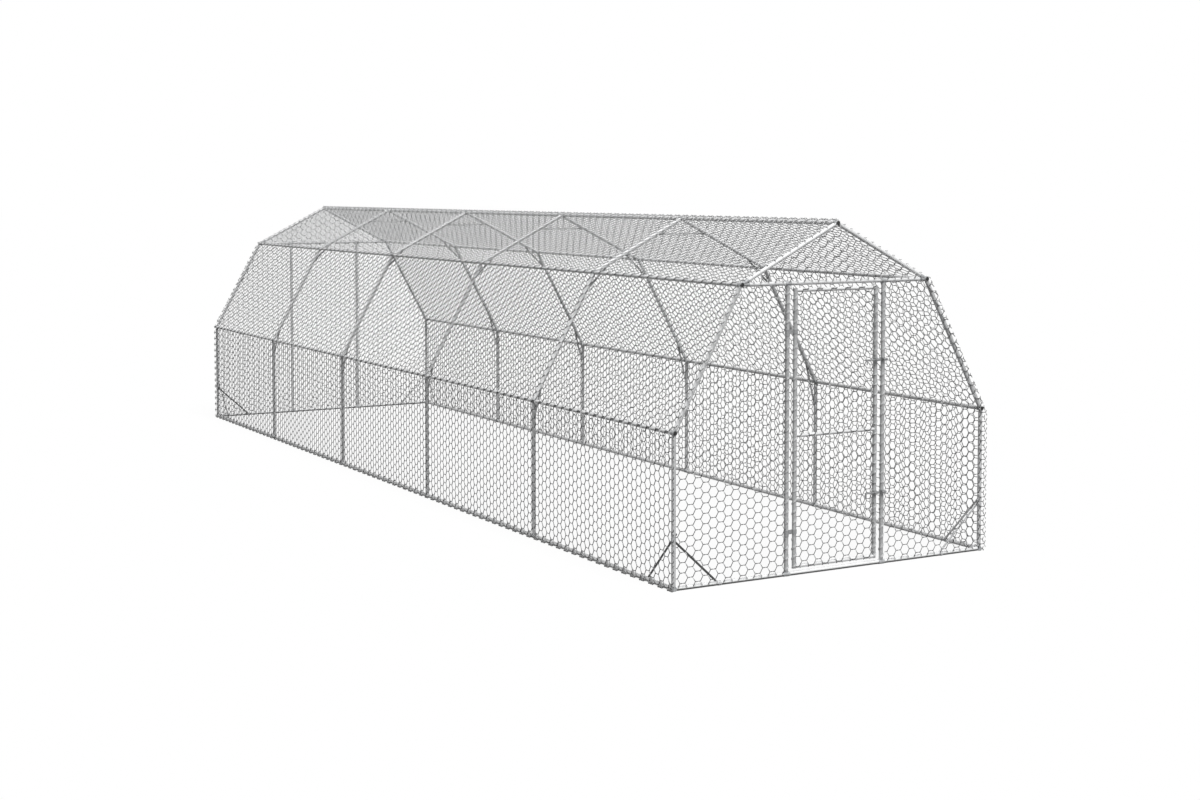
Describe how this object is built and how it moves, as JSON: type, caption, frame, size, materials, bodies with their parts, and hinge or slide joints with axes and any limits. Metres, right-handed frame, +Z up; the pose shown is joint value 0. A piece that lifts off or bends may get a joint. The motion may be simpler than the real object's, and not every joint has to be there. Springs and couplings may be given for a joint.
{
  "type": "chicken run",
  "caption": "Long walk-in poultry run with a two-pitch galvanised tube frame, hexagonal wire netting on every side, and a netted end door on hinges with slide bolts.",
  "frame": {"origin": "on the ground in the middle of the run", "axes": "+X across the run to the right seen from the door end, +Y along the run away from the door end, +Z up"},
  "size_m": [2.5056, 9.4509, 2.28],
  "materials": {
    "galvanised_tube": "galvanised, satin",
    "zinc_fitting": "galvanised, satin",
    "zinc_strap": "zinc plated, dull",
    "hex_netting": "galvanised wire",
    "latch_steel": "zinc plated, dull",
    "zinc_screw": "zinc plated"
  },
  "bodies": {
    "frame": {"corner_feet": "zinc_fitting", "sill_tees": "zinc_fitting", "end_sill_tees": "zinc_fitting", "side_sills_left": "galvanised_tube", "side_sills_right": "galvanised_tube", "front_sill": "galvanised_tube", "back_sill": "galvanised_tube", "posts_left": "galvanised_tube", "posts_right": "galvanised_tube", "hinge_post": "galvanised_tube", "latch_post": "galvanised_tube", "back_posts": "galvanised_tube", "wall_end_fittings": "zinc_fitting", "wall_fittings": "zinc_fitting", "wall_rails_left": "galvanised_tube", "wall_rails_right": "galvanised_tube", "slants_left": "galvanised_tube", "slants_right": "galvanised_tube", "shoulder_end_fittings": "zinc_fitting", "shoulder_fittings": "zinc_fitting", "shoulder_rails_left": "galvanised_tube", "shoulder_rails_right": "galvanised_tube", "beam_tees": "zinc_fitting", "front_beam": "galvanised_tube", "back_beam": "galvanised_tube", "rafters_left": "galvanised_tube", "rafters_right": "galvanised_tube", "ridge_end_fittings": "zinc_fitting", "ridge_fittings": "zinc_fitting", "ridge_rails": "galvanised_tube", "wall_knee_straps": "zinc_strap", "shoulder_knee_straps": "zinc_strap", "ridge_ties": "zinc_strap", "strap_screws": "zinc_screw", "corner_bands": "zinc_strap", "corner_braces": "zinc_strap", "brace_screws": "zinc_screw", "hinge_stops": "zinc_strap", "latch_keepers": "latch_steel", "wall_net_left": "hex_netting", "wall_net_right": "hex_netting", "slope_net_left": "hex_netting", "slope_net_right": "hex_netting", "roof_net_left": "hex_netting", "roof_net_right": "hex_netting", "front_net_left": "hex_netting", "front_net_right": "hex_netting", "gable_net": "hex_netting", "back_net": "hex_netting"},
    "door": {"hinge_stile": "galvanised_tube", "latch_stile": "galvanised_tube", "door_rails": "galvanised_tube", "door_net": "hex_netting", "hinge_straps": "zinc_strap", "latch_brackets": "latch_steel"},
    "upper_bolt": {"upper_latch_bolt": "latch_steel"},
    "lower_bolt": {"lower_latch_bolt": "latch_steel"}
  },
  "joints": [
    {"name": "door_swing", "type": "hinge", "parent": "frame", "child": "door", "pos_m": [-0.385, -4.7, 0], "axis": [0, 0, -1], "range_deg": [0, 110]},
    {"name": "upper_bolt_slide", "type": "slide", "parent": "door", "child": "upper_bolt", "axis": [1, 0, 0], "range_m": [0, 0.06]},
    {"name": "lower_bolt_slide", "type": "slide", "parent": "door", "child": "lower_bolt", "axis": [1, 0, 0], "range_m": [0, 0.06]}
  ]
}
